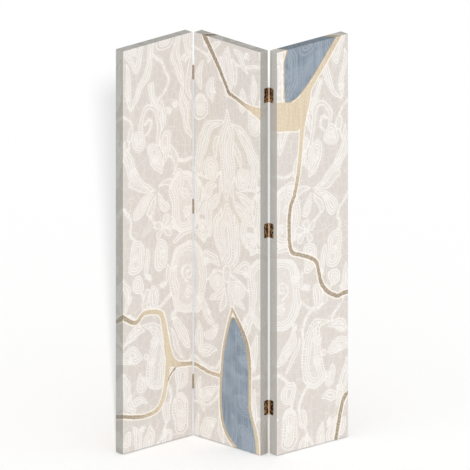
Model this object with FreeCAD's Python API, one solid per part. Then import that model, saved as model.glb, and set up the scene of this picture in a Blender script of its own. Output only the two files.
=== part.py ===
"""Folding partition wall of three tall panels, joined edge to edge by brass butt hinges.

Each panel is a printed canvas stretched over a deep timber frame and stapled on its back. The left and
middle panels fold face to face, about pins at their fronts. The middle and right panels fold back to
back, about pins at their backs. The screen stands open in a zigzag.

Millimetres, +Z up. X runs along the open screen, and the printed fronts look towards -Y. The origin is on
the floor, under the middle of the standing screen's bounding box.

A panel is built in its own axes: x from its left edge to its right one as seen from the front, y from its
front face to its back, and z up from the floor. It is then turned about Z and put in its place.
"""
import FreeCAD, Part
import json
import math
import os

from FreeCAD import Placement, Rotation, Vector

# The screen
PANEL_WIDTH = 400.0
PANEL_DEPTH = 46.0
SCREEN_HEIGHT = 1800.0
PANEL_TURNS = {"left": 42.5, "middle": -45.4, "right": 41.2}  # degrees about +Z, as it stands

# Glides nailed under each panel
GLIDE_HEIGHT = 3.0
GLIDE_RADIUS = 9.0
GLIDE_INSET = 45.0
NAIL_RADIUS = 0.9
NAIL_LENGTH = 12.0

# Canvas: one cloth, wrapped over the front and all four sides and turned onto the back
CANVAS = 0.6
CANVAS_RETURN = 17.0

# Timber frame
BAR_WIDTH = 20.0
BAR_BEAD = 3.5  # the width of the front edge that the canvas rests on
BAR_SLOPE = 3.0  # how far the bar's front falls away from the canvas behind that edge
TONGUE_THICKNESS = 8.0
TONGUE_INSET = 6.0  # the wood left between a tongue and the frame's outer edge
KEY_THICKNESS = 3.0
KEY_LENGTH = 26.0
KEY_WIDTH = 17.0
KEY_IN_BAR = 8.0
KEY_DEPTHS = (12.0, 30.0)  # y of the key under or over a rail, and of the key beside a stile
CROSSBAR_HEIGHT = 40.0
CROSSBAR_THICKNESS = 18.0
CROSSBAR_BACK = 5.0  # from a crossbar's back to the panel's
CROSSBAR_IN_STILE = 6.0
CROSSBAR_ARRIS = 1.5  # the bevel planed along its four long edges
CROSSBAR_SHARES = {"lower": 1 / 3, "upper": 2 / 3}  # of the panel's height

# Staples that hold the canvas on the back of the bars
STAPLE_CROWN = 10.0
STAPLE_LEG = 8.0
STAPLE_WIRE = 0.7
STAPLE_PITCH = 85.0
STAPLE_INSET = 9.0

# Hinges
HINGE_HEIGHT = 64.0
LEAF_REACH = 26.0  # from the pin's axis to the leaf's far edge
LEAF_THICKNESS = 1.5
LEAF_CORNER = 3.5
BARREL_RADIUS = {"left": 2.5, "right": 3.1}
KNUCKLES = 5
KNUCKLE_GAP = 0.3
KNUCKLE_CLEARANCE = 0.4
PIN_RADIUS = 1.5
PIN_CLEARANCE = 0.05
PIN_HEAD_RADIUS = 2.2
PIN_HEAD_HEIGHT = 1.2
PIN_OUT = {"left": 1.9, "right": 3.0}  # from the edge of a panel to the pin's axis
PIN_PROUD = {"left": 2.4, "right": 3.5}  # from the face of a panel to the pin's axis
HINGES_DOWN = {  # the middle of each hinge, down from the top of the screen
    "left": {"top": 179.0, "middle": 778.0, "bottom": 1558.0},
    "right": {"top": 199.0, "middle": 803.0, "bottom": 1592.0},
}

# Countersunk screws, three to a leaf, at (distance from the pin's axis, height from the hinge's middle)
SCREW_PLACES = ((12.0, 23.0), (19.0, 0.0), (12.0, -23.0))
SCREW_HEAD_RADIUS = 3.0
SCREW_RADIUS = 1.5
SCREW_LENGTH = 15.0
SCREW_TIP = 3.0
SCREW_CLEARANCE = 0.1
RECESS_LENGTH = 3.4
RECESS_WIDTH = 0.7
RECESS_DEPTH = 0.8

# Worked out from those
PANEL_FOOT = GLIDE_HEIGHT
PANEL_TOP = SCREEN_HEIGHT
FRAME_LEFT = CANVAS
FRAME_RIGHT = PANEL_WIDTH - CANVAS
FRAME_FRONT = CANVAS
FRAME_BACK = PANEL_DEPTH - CANVAS
FRAME_BOTTOM = PANEL_FOOT + CANVAS
FRAME_TOP = PANEL_TOP - CANVAS
MID_X = PANEL_WIDTH / 2
MID_Z = (PANEL_FOOT + PANEL_TOP) / 2

X_AXIS = Vector(1, 0, 0)
Y_AXIS = Vector(0, 1, 0)
Z_AXIS = Vector(0, 0, 1)


def box(x0, x1, y0, y1, z0, z1):
    """A box between two corners."""
    return Part.makeBox(x1 - x0, y1 - y0, z1 - z0, Vector(x0, y0, z0))


def prism(corners, along):
    """A flat polygon, given by its corners, pushed along a vector."""
    return Part.Face(Part.makePolygon([*corners, corners[0]])).extrude(along)


def face_prism(corners_xz, y0, y1):
    """A polygon that is drawn on a panel's face, between two depths."""
    return prism([Vector(x, y0, z) for x, z in corners_xz], Vector(0, y1 - y0, 0))


def flip_x(shape):
    """The same thing on the other side of the panel."""
    return shape.mirror(Vector(MID_X, 0, 0), X_AXIS)


def flip_z(shape):
    """The same thing at the other end of the panel."""
    return shape.mirror(Vector(0, 0, MID_Z), Z_AXIS)


def at_four_corners(shape):
    """A shape at the top left corner, and its copies at the other three."""
    return [shape, flip_x(shape), flip_z(shape), flip_x(flip_z(shape))]


# Timber frame

INNER_X = FRAME_LEFT + BAR_WIDTH  # the frame's inner corner, top left
INNER_Z = FRAME_TOP - BAR_WIDTH


def left_stile():
    """The upright bar, mitred at both ends, with its front sloping back from the bead at its outer edge."""
    body = face_prism(
        [
            (FRAME_LEFT, FRAME_BOTTOM),
            (INNER_X, FRAME_BOTTOM + BAR_WIDTH),
            (INNER_X, INNER_Z),
            (FRAME_LEFT, FRAME_TOP),
        ],
        FRAME_FRONT,
        FRAME_BACK,
    )
    slope = [
        Vector(FRAME_LEFT + BAR_BEAD, FRAME_FRONT, FRAME_BOTTOM),
        Vector(INNER_X, FRAME_FRONT, FRAME_BOTTOM),
        Vector(INNER_X, FRAME_FRONT + BAR_SLOPE, FRAME_BOTTOM),
    ]
    return body.cut(prism(slope, Vector(0, 0, FRAME_TOP - FRAME_BOTTOM)))


def top_rail():
    """The cross bar at the top, mitred to the stiles, with a tongue at each end that enters the stile's slot."""
    body = face_prism(
        [
            (FRAME_LEFT, FRAME_TOP),
            (INNER_X, INNER_Z),
            (PANEL_WIDTH - INNER_X, INNER_Z),
            (FRAME_RIGHT, FRAME_TOP),
        ],
        FRAME_FRONT,
        FRAME_BACK,
    )
    slope = [
        Vector(FRAME_LEFT, FRAME_FRONT, FRAME_TOP - BAR_BEAD),
        Vector(FRAME_LEFT, FRAME_FRONT, INNER_Z),
        Vector(FRAME_LEFT, FRAME_FRONT + BAR_SLOPE, INNER_Z),
    ]
    body = body.cut(prism(slope, Vector(FRAME_RIGHT - FRAME_LEFT, 0, 0)))
    return body.fuse([corner_tongue(), flip_x(corner_tongue())]).removeSplitter()


def corner_tongue():
    """The tongue of the top rail inside the left stile: a triangle behind the mitre."""
    middle = PANEL_DEPTH / 2
    return face_prism(
        [
            (INNER_X, INNER_Z),
            (FRAME_LEFT + TONGUE_INSET, INNER_Z),
            (FRAME_LEFT + TONGUE_INSET, FRAME_TOP - TONGUE_INSET),
        ],
        middle - TONGUE_THICKNESS / 2,
        middle + TONGUE_THICKNESS / 2,
    )


def rail_key():
    """The wedge that lies against the rail, with its thick end in a slot in the stile."""
    y = KEY_DEPTHS[0]
    return face_prism(
        [
            (INNER_X - KEY_IN_BAR, INNER_Z),
            (INNER_X - KEY_IN_BAR + KEY_LENGTH, INNER_Z),
            (INNER_X - KEY_IN_BAR + KEY_LENGTH, INNER_Z - KEY_WIDTH * 0.2),
            (INNER_X - KEY_IN_BAR, INNER_Z - KEY_WIDTH * 0.6),
        ],
        y,
        y + KEY_THICKNESS,
    )


def stile_key():
    """The wedge that lies against the stile, with its thick end in a slot in the rail."""
    y = KEY_DEPTHS[1]
    return face_prism(
        [
            (INNER_X, INNER_Z + KEY_IN_BAR),
            (INNER_X, INNER_Z + KEY_IN_BAR - KEY_LENGTH),
            (INNER_X + KEY_WIDTH * 0.2, INNER_Z + KEY_IN_BAR - KEY_LENGTH),
            (INNER_X + KEY_WIDTH * 0.6, INNER_Z + KEY_IN_BAR),
        ],
        y,
        y + KEY_THICKNESS,
    )


def crossbar(share):
    """A brace between the stiles, let into both, clear of the canvas."""
    z = PANEL_FOOT + share * (PANEL_TOP - PANEL_FOOT)
    back = PANEL_DEPTH - CROSSBAR_BACK
    left = INNER_X - CROSSBAR_IN_STILE
    half = CROSSBAR_HEIGHT / 2
    bar = box(left, PANEL_WIDTH - left, back - CROSSBAR_THICKNESS, back, z - half, z + half)
    long_edges = [edge for edge in bar.Edges if edge.Length > CROSSBAR_HEIGHT]
    return bar.makeChamfer(CROSSBAR_ARRIS, long_edges)


# Canvas, staples and glides


def canvas(piercings):
    """The cloth, flat on every side, so each side is a thin plate. Screws and nails go through it."""
    left, right, bottom, top, back = 0.0, PANEL_WIDTH, PANEL_FOOT, PANEL_TOP, PANEL_DEPTH
    turned = CANVAS_RETURN
    front = box(left, right, 0, CANVAS, bottom, top)
    side = box(left, CANVAS, CANVAS, back - CANVAS, bottom, top)
    end = box(CANVAS, right - CANVAS, CANVAS, back - CANVAS, top - CANVAS, top)
    side_return = box(left, turned, back - CANVAS, back, bottom, top)
    end_return = box(turned, right - turned, back - CANVAS, back, top - turned, top)
    sides = [plate.cut(piercings) for plate in (side, flip_x(side), end, flip_z(end))]
    returns = [side_return, flip_x(side_return), end_return, flip_z(end_return)]
    return [front, *sides, *returns]


def staple(x, z, upright):
    """A staple through the canvas into the back of a bar: its crown lies on the cloth."""
    half = STAPLE_CROWN / 2
    inner = half - STAPLE_WIRE
    back, tips = PANEL_DEPTH, PANEL_DEPTH - STAPLE_LEG
    outline = [
        (-half, back + STAPLE_WIRE),
        (half, back + STAPLE_WIRE),
        (half, tips),
        (inner, tips),
        (inner, back),
        (-inner, back),
        (-inner, tips),
        (-half, tips),
    ]
    if upright:
        return prism([Vector(x, y, z + a) for a, y in outline], Vector(STAPLE_WIRE, 0, 0))
    return prism([Vector(x + a, y, z) for a, y in outline], Vector(0, 0, STAPLE_WIRE))


def spread(start, end, pitch):
    """Evenly spaced places between two ends, about a pitch apart and half a space in from each end."""
    count = round((end - start) / pitch)
    return [start + (end - start) * (i + 0.5) / count for i in range(count)]


def staples():
    """Every staple of one panel: down both sides, then along the top and bottom."""
    upright = [staple(STAPLE_INSET, z, True) for z in spread(FRAME_BOTTOM, FRAME_TOP, STAPLE_PITCH)]
    flat = [
        staple(x, PANEL_TOP - STAPLE_INSET, False)
        for x in spread(CANVAS_RETURN, PANEL_WIDTH - CANVAS_RETURN, STAPLE_PITCH)
    ]
    return [*upright, *map(flip_x, upright), *flat, *map(flip_z, flat)]


def glide(x):
    """A round glide under the panel, on its own nail."""
    y = PANEL_DEPTH / 2
    chamfer = GLIDE_HEIGHT / 3
    foot = Part.makeCone(GLIDE_RADIUS - chamfer, GLIDE_RADIUS, chamfer, Vector(x, y, 0))
    body = Part.makeCylinder(GLIDE_RADIUS, GLIDE_HEIGHT - chamfer, Vector(x, y, chamfer))
    nail = Part.makeCylinder(NAIL_RADIUS, NAIL_LENGTH, Vector(x, y, GLIDE_HEIGHT))
    return foot.fuse([body, nail]).removeSplitter()


# Hinges. They are drawn about their own pin: z from the hinge's middle, and x and y as in the panel. A leaf
# lies on the edge of a panel that is towards `side` of the pin, and runs into the panel's depth `inward`.


def knuckle_spans(own):
    """The z spans of a leaf's own knuckles (True) or of the other leaf's (False), for the leaf with three."""
    pitch = HINGE_HEIGHT / KNUCKLES
    starts = [-HINGE_HEIGHT / 2 + i * pitch for i in range(KNUCKLES)]
    return [(z, z + pitch) for i, z in enumerate(starts) if (i % 2 == 0) == own]


def leaf(joint, side, inward, three_knuckles):
    """A hinge leaf: a plate on the panel's edge, with its knuckles round the pin and countersunk holes."""
    x0, x1 = sorted((side * PIN_OUT[joint], side * (PIN_OUT[joint] - LEAF_THICKNESS)))
    y0, y1 = sorted((0.0, inward * LEAF_REACH))
    half = HINGE_HEIGHT / 2
    shape = rounded(box(x0, x1, y0, y1, -half, half), inward * LEAF_REACH)
    room = BARREL_RADIUS[joint] + KNUCKLE_CLEARANCE
    clear = KNUCKLE_GAP / 2
    shape = shape.cut(
        [
            Part.makeCylinder(room, b - a + 2 * clear, Vector(0, 0, a - clear))
            for a, b in knuckle_spans(not three_knuckles)
        ]
    )
    knuckles = [
        Part.makeCylinder(BARREL_RADIUS[joint], b - a - 2 * clear, Vector(0, 0, a + clear))
        for a, b in knuckle_spans(three_knuckles)
    ]
    shape = shape.fuse(knuckles).removeSplitter()
    bore = Part.makeCylinder(PIN_RADIUS + PIN_CLEARANCE, HINGE_HEIGHT, Vector(0, 0, -half))
    holes = [screw_hole(joint, side, inward * reach, z) for reach, z in SCREW_PLACES]
    return shape.cut([bore, *holes])


def rounded(plate, far_y):
    """The plate with its two far corners rounded."""
    corners = [
        edge
        for edge in plate.Edges
        if edge.BoundBox.XLength > LEAF_THICKNESS / 2 and abs(edge.CenterOfMass.y - far_y) < CANVAS
    ]
    return plate.makeFillet(LEAF_CORNER, corners)


def screw_hole(joint, side, y, z):
    """The countersunk hole through a leaf, widest on the face that looks away from the panel."""
    start = Vector(side * (PIN_OUT[joint] - LEAF_THICKNESS), y, z)
    head, shank = SCREW_HEAD_RADIUS + SCREW_CLEARANCE, SCREW_RADIUS + SCREW_CLEARANCE
    return Part.makeCone(head, shank, LEAF_THICKNESS, start, X_AXIS * side)


def screw(joint, side, y, z):
    """A countersunk wood screw with a cross recess, driven through a leaf into the stile."""
    into = X_AXIS * side
    start = Vector(side * (PIN_OUT[joint] - LEAF_THICKNESS), y, z)
    neck = start + into * LEAF_THICKNESS
    tip = neck + into * (SCREW_LENGTH - LEAF_THICKNESS - SCREW_TIP)
    head = Part.makeCone(SCREW_HEAD_RADIUS, SCREW_RADIUS, LEAF_THICKNESS, start, into)
    shank = Part.makeCylinder(SCREW_RADIUS, (tip - neck).Length, neck, into)
    point = Part.makeCone(SCREW_RADIUS, 0.2, SCREW_TIP, tip, into)
    x0, x1 = sorted((start.x, start.x + side * RECESS_DEPTH))
    long, thin = RECESS_LENGTH / 2, RECESS_WIDTH / 2
    recess = [
        box(x0, x1, y - long, y + long, z - thin, z + thin),
        box(x0, x1, y - thin, y + thin, z - long, z + long),
    ]
    return head.fuse([shank, point]).removeSplitter().cut(recess)


def pin():
    """The hinge pin, with a low head at each end."""
    half = HINGE_HEIGHT / 2
    shaft = Part.makeCylinder(PIN_RADIUS, HINGE_HEIGHT, Vector(0, 0, -half))
    heads = [
        Part.makeCone(PIN_HEAD_RADIUS, PIN_RADIUS, PIN_HEAD_HEIGHT, Vector(0, 0, s * half), Z_AXIS * s)
        for s in (-1, 1)
    ]
    return shaft.fuse(heads).removeSplitter()


# Where things stand

LEFT_PIN = {  # the left hinges' pin, in the axes of each panel that it joins
    "left": Vector(PANEL_WIDTH + PIN_OUT["left"], -PIN_PROUD["left"], 0),
    "middle": Vector(-PIN_OUT["left"], -PIN_PROUD["left"], 0),
}
RIGHT_PIN = {
    "middle": Vector(PANEL_WIDTH + PIN_OUT["right"], PANEL_DEPTH + PIN_PROUD["right"], 0),
    "right": Vector(-PIN_OUT["right"], PANEL_DEPTH + PIN_PROUD["right"], 0),
}


def standing():
    """Each panel's placement in the open zigzag, with the screen's bounding box centred on the origin."""
    turns = {name: Rotation(Z_AXIS, angle) for name, angle in PANEL_TURNS.items()}
    left_pin = turns["middle"].multVec(LEFT_PIN["middle"])
    right_pin = turns["middle"].multVec(RIGHT_PIN["middle"])
    origins = {
        "left": left_pin - turns["left"].multVec(LEFT_PIN["left"]),
        "middle": Vector(0, 0, 0),
        "right": right_pin - turns["right"].multVec(RIGHT_PIN["right"]),
    }
    corners = [
        origins[name] + turns[name].multVec(Vector(x, y, 0))
        for name in origins
        for x in (0, PANEL_WIDTH)
        for y in (0, PANEL_DEPTH)
    ]
    middle = Vector(
        (min(c.x for c in corners) + max(c.x for c in corners)) / 2,
        (min(c.y for c in corners) + max(c.y for c in corners)) / 2,
        0,
    )
    return {name: Placement(origins[name] - middle, turns[name]) for name in origins}


def placed(shapes, placement):
    """One node's solids, moved from their panel's axes to the screen's."""
    group = shapes[0] if len(shapes) == 1 else Part.makeCompound(shapes)
    group = group.copy()
    group.Placement = placement.multiply(group.Placement)
    return group


def hinge_nodes(panel, joint, pins, inward, three_knuckles):
    """A panel's leaves and screws of one row of hinges, in the panel's axes: {node: solids}, and the screws."""
    at = pins[panel]
    side = -1 if at.x > MID_X else 1
    nodes, screws = {}, []
    for where, down in HINGES_DOWN[joint].items():
        lift = Vector(at.x, at.y, SCREEN_HEIGHT - down)
        plate = leaf(joint, side, inward, three_knuckles)
        plate.translate(lift)
        nodes[f"{joint}_hinge_{where}_leaf_{panel}"] = [plate]
        for reach, z in SCREW_PLACES:
            driven = screw(joint, side, inward * reach, z)
            driven.translate(lift)
            screws.append(driven)
        if three_knuckles:
            rod = pin()
            rod.translate(lift)
            nodes[f"{joint}_hinge_{where}_pin"] = [rod]
    nodes[f"{joint}_hinge_screws_{panel}"] = screws
    return nodes, screws


def panel_nodes(panel):
    """Every node that moves with one panel, in the panel's axes: {node: solids}."""
    hardware, left_screws, right_screws = {}, [], []
    if panel in LEFT_PIN:
        found, screws = hinge_nodes(panel, "left", LEFT_PIN, 1, panel == "middle")
        hardware.update(found)
        (left_screws if panel == "middle" else right_screws).extend(screws)
    if panel in RIGHT_PIN:
        found, screws = hinge_nodes(panel, "right", RIGHT_PIN, -1, panel == "middle")
        hardware.update(found)
        (right_screws if panel == "middle" else left_screws).extend(screws)

    keys = [*at_four_corners(rail_key()), *at_four_corners(stile_key())]
    bars = {name: crossbar(share) for name, share in CROSSBAR_SHARES.items()}
    glides = [glide(GLIDE_INSET), flip_x(glide(GLIDE_INSET))]
    tongues = at_four_corners(corner_tongue())
    slots = [*tongues, *keys, *bars.values()]
    stile, rail = left_stile(), top_rail()
    nodes = {
        "canvas": canvas([*left_screws, *right_screws, *glides]),
        "left_stile": [stile.cut([*slots, *left_screws])],
        "right_stile": [flip_x(stile).cut([*slots, *right_screws])],
        "top_rail": [rail.cut(keys)],
        "bottom_rail": [flip_z(rail).cut([*keys, *glides])],
        "lower_crossbar": [bars["lower"]],
        "upper_crossbar": [bars["upper"]],
        "corner_keys": keys,
        "staples": staples(),
        "glides": glides,
    }
    return {**{f"{panel}_panel_{name}": shapes for name, shapes in nodes.items()}, **hardware}


def main():
    os.makedirs("parts", exist_ok=True)
    places = standing()
    for panel, placement in places.items():
        for node, shapes in panel_nodes(panel).items():
            placed(shapes, placement).exportStep(f"parts/{node}.step")
    facts = {
        "left_pin": list(places["middle"].multVec(LEFT_PIN["middle"])),
        "right_pin": list(places["middle"].multVec(RIGHT_PIN["middle"])),
        "left_opens_deg": PANEL_TURNS["left"] - PANEL_TURNS["middle"],
        "right_opens_deg": PANEL_TURNS["right"] - PANEL_TURNS["middle"],
        "panel_corners": {name: list(p.Base) for name, p in places.items()},
    }
    print(json.dumps(facts))


main()
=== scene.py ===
"""Folding partition wall of three tall panels: printed canvas on deep timber frames, joined by brass hinges.

Metres, +Z up. The screen stands open in a zigzag on the floor, and the printed fronts look towards -Y.
"""

import math

import bpy
import numpy as np
from mathutils import Matrix, Vector


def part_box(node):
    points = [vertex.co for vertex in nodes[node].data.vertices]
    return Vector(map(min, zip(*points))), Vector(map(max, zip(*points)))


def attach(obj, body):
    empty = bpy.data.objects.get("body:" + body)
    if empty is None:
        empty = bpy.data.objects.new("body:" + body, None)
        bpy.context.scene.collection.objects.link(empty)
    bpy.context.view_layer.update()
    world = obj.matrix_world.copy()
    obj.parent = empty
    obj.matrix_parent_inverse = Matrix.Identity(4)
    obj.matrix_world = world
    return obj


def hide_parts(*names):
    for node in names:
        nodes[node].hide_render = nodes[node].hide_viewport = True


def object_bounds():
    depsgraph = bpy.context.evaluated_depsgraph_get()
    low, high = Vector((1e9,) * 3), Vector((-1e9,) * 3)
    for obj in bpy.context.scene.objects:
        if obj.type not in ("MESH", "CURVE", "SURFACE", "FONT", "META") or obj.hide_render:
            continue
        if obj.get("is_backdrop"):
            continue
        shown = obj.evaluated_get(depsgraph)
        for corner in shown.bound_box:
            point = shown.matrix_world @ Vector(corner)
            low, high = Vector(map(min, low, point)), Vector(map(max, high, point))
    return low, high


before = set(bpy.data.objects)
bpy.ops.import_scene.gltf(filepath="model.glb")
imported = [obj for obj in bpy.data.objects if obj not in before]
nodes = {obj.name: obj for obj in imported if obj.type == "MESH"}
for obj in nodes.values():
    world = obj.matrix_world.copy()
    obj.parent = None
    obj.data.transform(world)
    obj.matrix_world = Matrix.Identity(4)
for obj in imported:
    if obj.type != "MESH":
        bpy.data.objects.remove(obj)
cad_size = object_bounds()

# ---- Panels
# The screen is three frames of one size, each turned about the upright axis. A panel is drawn in its own
# axes: x from its left edge to its right one, y from its front face to its back, and z up from the floor.

PANELS = ("left", "middle", "right")
PANEL_WIDTH = 0.400
PANEL_DEPTH = 0.046
PANEL_FOOT, PANEL_TOP = (corner.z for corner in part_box("middle_panel_canvas"))
PANEL_HEIGHT = PANEL_TOP - PANEL_FOOT


def panel_place(panel):
    """Where a panel's own axes lie on the screen, from the box of its canvas."""
    low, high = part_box(f"{panel}_panel_canvas")
    along_x, along_y = high.x - low.x, high.y - low.y
    spread = PANEL_WIDTH**2 - PANEL_DEPTH**2
    cosine = (PANEL_WIDTH * along_x - PANEL_DEPTH * along_y) / spread
    sine = (PANEL_WIDTH * along_y - PANEL_DEPTH * along_x) / spread
    if panel == "middle":
        return Matrix.Translation((low.x, low.y + PANEL_WIDTH * sine, 0)) @ Matrix.Rotation(
            -math.atan2(sine, cosine), 4, "Z"
        )
    return Matrix.Translation((low.x + PANEL_DEPTH * sine, low.y, 0)) @ Matrix.Rotation(
        math.atan2(sine, cosine), 4, "Z"
    )


PLACES = {panel: panel_place(panel) for panel in PANELS}
TURNS = {panel: place.to_euler().z for panel, place in PLACES.items()}

# ---- Timber frames
# Pine bars, planed and left bare: two stiles and two rails, mitred and tongued at the corners, with two
# crossbars let into the stiles. The grain runs along every bar, so each direction has its own wood.


def paint(red, green, blue):
    """A colour as a maker's chart gives it, 0 to 255, in the linear measure that a shader works in."""
    shares = (red / 255, green / 255, blue / 255)
    linear = [c / 12.92 if c <= 0.04045 else ((c + 0.055) / 1.055) ** 2.4 for c in shares]
    return (*linear, 1.0)


class Wired:
    """A value in a tree of nodes. Arithmetic on it adds the nodes that do it."""

    def __init__(self, node, output=0):
        self.node = node
        self.socket = node.outputs[output]
        self.tree = node.id_data

    def __add__(self, other):
        return calc("ADD", self, other)

    def __sub__(self, other):
        return calc("SUBTRACT", self, other)

    def __rsub__(self, other):
        return calc("SUBTRACT", other, self)

    def __mul__(self, other):
        return calc("MULTIPLY", self, other)

    def __truediv__(self, other):
        return calc("DIVIDE", self, other)


def fill_socket(socket, value):
    """A socket gets a link from a wired value, or a plain value."""
    if isinstance(value, Wired):
        value.tree.links.new(value.socket, socket)
    else:
        socket.default_value = value


def add(tree, kind, settings=(), output=0, **values):
    """One output of a new node that has these settings, and inputs filled by name."""
    made = tree.nodes.new(kind)
    for name, value in dict(settings).items():
        setattr(made, name, value)
    for name, value in values.items():
        fill_socket(made.inputs[name.replace("_", " ").title()], value)
    return Wired(made, output)


def calc(operation, first, second=0.0):
    """One step of arithmetic."""
    tree = (first if isinstance(first, Wired) else second).tree
    made = add(tree, "ShaderNodeMath", {"operation": operation})
    fill_socket(made.node.inputs[0], first)
    fill_socket(made.node.inputs[1], second)
    return made


def ramp(value, start, end, low=0.0, high=1.0):
    """A soft step: low up to start, and high from end on."""
    made = add(value.tree, "ShaderNodeMapRange", {"interpolation_type": "SMOOTHSTEP"}, value=value)
    for socket, number in zip(made.node.inputs[1:5], (start, end, low, high)):
        socket.default_value = number
    return made


def blend(share, first, second, how="MIX"):
    """Two colours mixed, with a share of the second."""
    tree = next(value.tree for value in (share, first, second) if isinstance(value, Wired))
    settings = {"data_type": "RGBA", "blend_type": how, "clamp_factor": True}
    made = add(tree, "ShaderNodeMix", settings, output=2)
    for socket, value in zip((0, 6, 7), (share, first, second)):
        fill_socket(made.node.inputs[socket], value)
    return made


def stretched(place, scale):
    """A place for a pattern that is packed or drawn out along each axis."""
    return add(place.tree, "ShaderNodeMapping", vector=place, scale=scale)


def noise(place, scale, detail=2.0, roughness=0.5, distortion=0.0):
    """A cloudy pattern round 0.5."""
    shape = {"detail": detail, "roughness": roughness, "distortion": distortion}
    return add(place.tree, "ShaderNodeTexNoise", output="Fac", vector=place, scale=scale, **shape)


def parts(place):
    """The x, y and z of a place."""
    made = add(place.tree, "ShaderNodeSeparateXYZ", vector=place)
    return [Wired(made.node, axis) for axis in "XYZ"]


def new_material(name, source="Object"):
    """An empty material, and the coordinates of the piece that it is on."""
    material = bpy.data.materials.new(name)
    material.use_nodes = True
    return material, add(material.node_tree, "ShaderNodeTexCoord", output=source)


def finish(material, colour, roughness, height, depth, strength=1.0, metallic=0.0, specular=0.5):
    """A material's surface, which rises with a height by up to a depth in metres."""
    tree = material.node_tree
    bump = add(tree, "ShaderNodeBump", height=height, distance=depth, strength=strength)
    shader = tree.nodes["Principled BSDF"].inputs
    names = ("Base Color", "Roughness", "Metallic", "Specular IOR Level", "Normal")
    for name, value in zip(names, (colour, roughness, metallic, specular, bump)):
        fill_socket(shader[name], value)
    return material


def finish_nodes(words, material):
    """Every node with these words in its name gets a material."""
    for name, node in nodes.items():
        if words in name:
            node.data.materials.clear()
            node.data.materials.append(material)


PINE = (paint(226, 198, 158), paint(190, 146, 98))
PINE_RING = 0.0045
GRAIN_STRETCH = 14.0


def bare_wood(name, turn, colours, ring, upright=True):
    """Planed wood whose grain runs up the bar, or along the panel."""
    material, place = new_material(name)
    turned = {"vector_type": "TEXTURE"}
    place = add(place.tree, "ShaderNodeMapping", turned, vector=place, rotation=(0, 0, turn))
    place = stretched(place, (1, 1, 1 / GRAIN_STRETCH) if upright else (1 / GRAIN_STRETCH, 1, 1))
    x, y, z = parts(place)
    rings = y + noise(place, 9.0, 3.0) * 0.03 + (x if upright else z) * 0.35
    band = calc("FRACT", rings / ring)
    late_wood = ramp(band, 0.25, 0.85) - ramp(band, 0.88, 1.0)
    fibre = noise(place, 900.0, 2.0, 0.6)
    shade = late_wood * 0.62 + ramp(fibre, 0.42, 0.7, 0.0, 0.24)
    shade = shade + ramp(noise(place, 14.0, 2.0), 0.35, 0.7, -0.08, 0.16)
    rough = ramp(late_wood, 0.0, 1.0, 0.68, 0.54)
    return finish(material, blend(shade, *colours), rough, late_wood - fibre, 0.00012)


for panel in PANELS:
    pine_up = bare_wood(f"pine up the {panel} panel", TURNS[panel], PINE, PINE_RING)
    for bar in ("left_stile", "right_stile"):
        finish_nodes(f"{panel}_panel_{bar}", pine_up)
    pine_across = bare_wood(f"pine across the {panel} panel", TURNS[panel], PINE, PINE_RING, upright=False)
    for bar in ("top_rail", "bottom_rail", "lower_crossbar", "upper_crossbar"):
        finish_nodes(f"{panel}_panel_{bar}", pine_across)

# ---- Corner keys
# Thin wedges of sawn hardwood, two in the slots of each mitre. Tapped in, they spread the corner and draw
# the canvas tight.

KEY_WOOD = (paint(205, 172, 128), paint(160, 120, 78))
KEY_RING = 0.0016

for panel in PANELS:
    key_wood = bare_wood(f"key wood of the {panel} panel", TURNS[panel], KEY_WOOD, KEY_RING)
    finish_nodes(f"{panel}_panel_corner_keys", key_wood)

# ---- Canvas
# One printed cotton cloth on each frame, pulled over the front and all four sides and turned onto the back,
# where its raw edge ends. The print runs across the three fronts and on round the sides, darkened there by
# painted shade.

CLOTH = 0.0006
RETURN = 0.017
FOLD_RADIUS = 0.0014
THREAD_SPACING = 0.0036
BORDER_STEPS = 4  # faces across a return
BORDER_LINES = 3 + BORDER_STEPS


def cloth_lines(length, turned=RETURN):
    """Lines across a stretch of cloth: close by each fold, over its returns, and even in between."""
    by_fold = [0.0, FOLD_RADIUS / 2, FOLD_RADIUS]
    step = (turned - FOLD_RADIUS) / BORDER_STEPS
    border = [FOLD_RADIUS + step * i for i in range(1, BORDER_STEPS + 1)]
    near = np.array(by_fold + border) if turned else np.array(by_fold)
    gap = length - 2 * near[-1]
    count = round(gap / THREAD_SPACING)
    middle = near[-1] + gap * np.arange(1, count) / count
    return np.concatenate([near, middle, (length - near)[::-1]])


class Cloth:
    """The faces of a panel's canvas, and where each corner of each face lies in the cloth laid out flat."""

    def __init__(self):
        self.points = []
        self.flats = []
        self.faces = []
        self.count = 0

    def add_patch(self, across, along, place, flat, outward, keep=None):
        """A grid of faces: place and flat give a corner's place in space and in the flat cloth."""
        first, second = np.meshgrid(across, along, indexing="ij")
        self.points.append(np.stack(np.broadcast_arrays(*place(first, second)), axis=-1).reshape(-1, 3))
        self.flats.append(np.stack(np.broadcast_arrays(*flat(first, second)), axis=-1).reshape(-1, 2))
        index = self.count + np.arange(first.size).reshape(first.shape)
        quads = np.stack([index[:-1, :-1], index[1:, :-1], index[1:, 1:], index[:-1, 1:]], axis=-1)
        if not outward:
            quads = quads[..., ::-1]
        quads = quads.reshape(-1, 4)
        if keep is None:
            self.faces.extend(quads.tolist())
        else:
            self.faces.extend(keep(quads, first.ravel(), second.ravel(), self.count))
        self.count += first.size

    def add_face(self, points, flats):
        """One flat face with any number of corners."""
        self.points.append(np.array(points, float))
        self.flats.append(np.array(flats, float))
        self.faces.append(list(range(self.count, self.count + len(points))))
        self.count += len(points)


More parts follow.
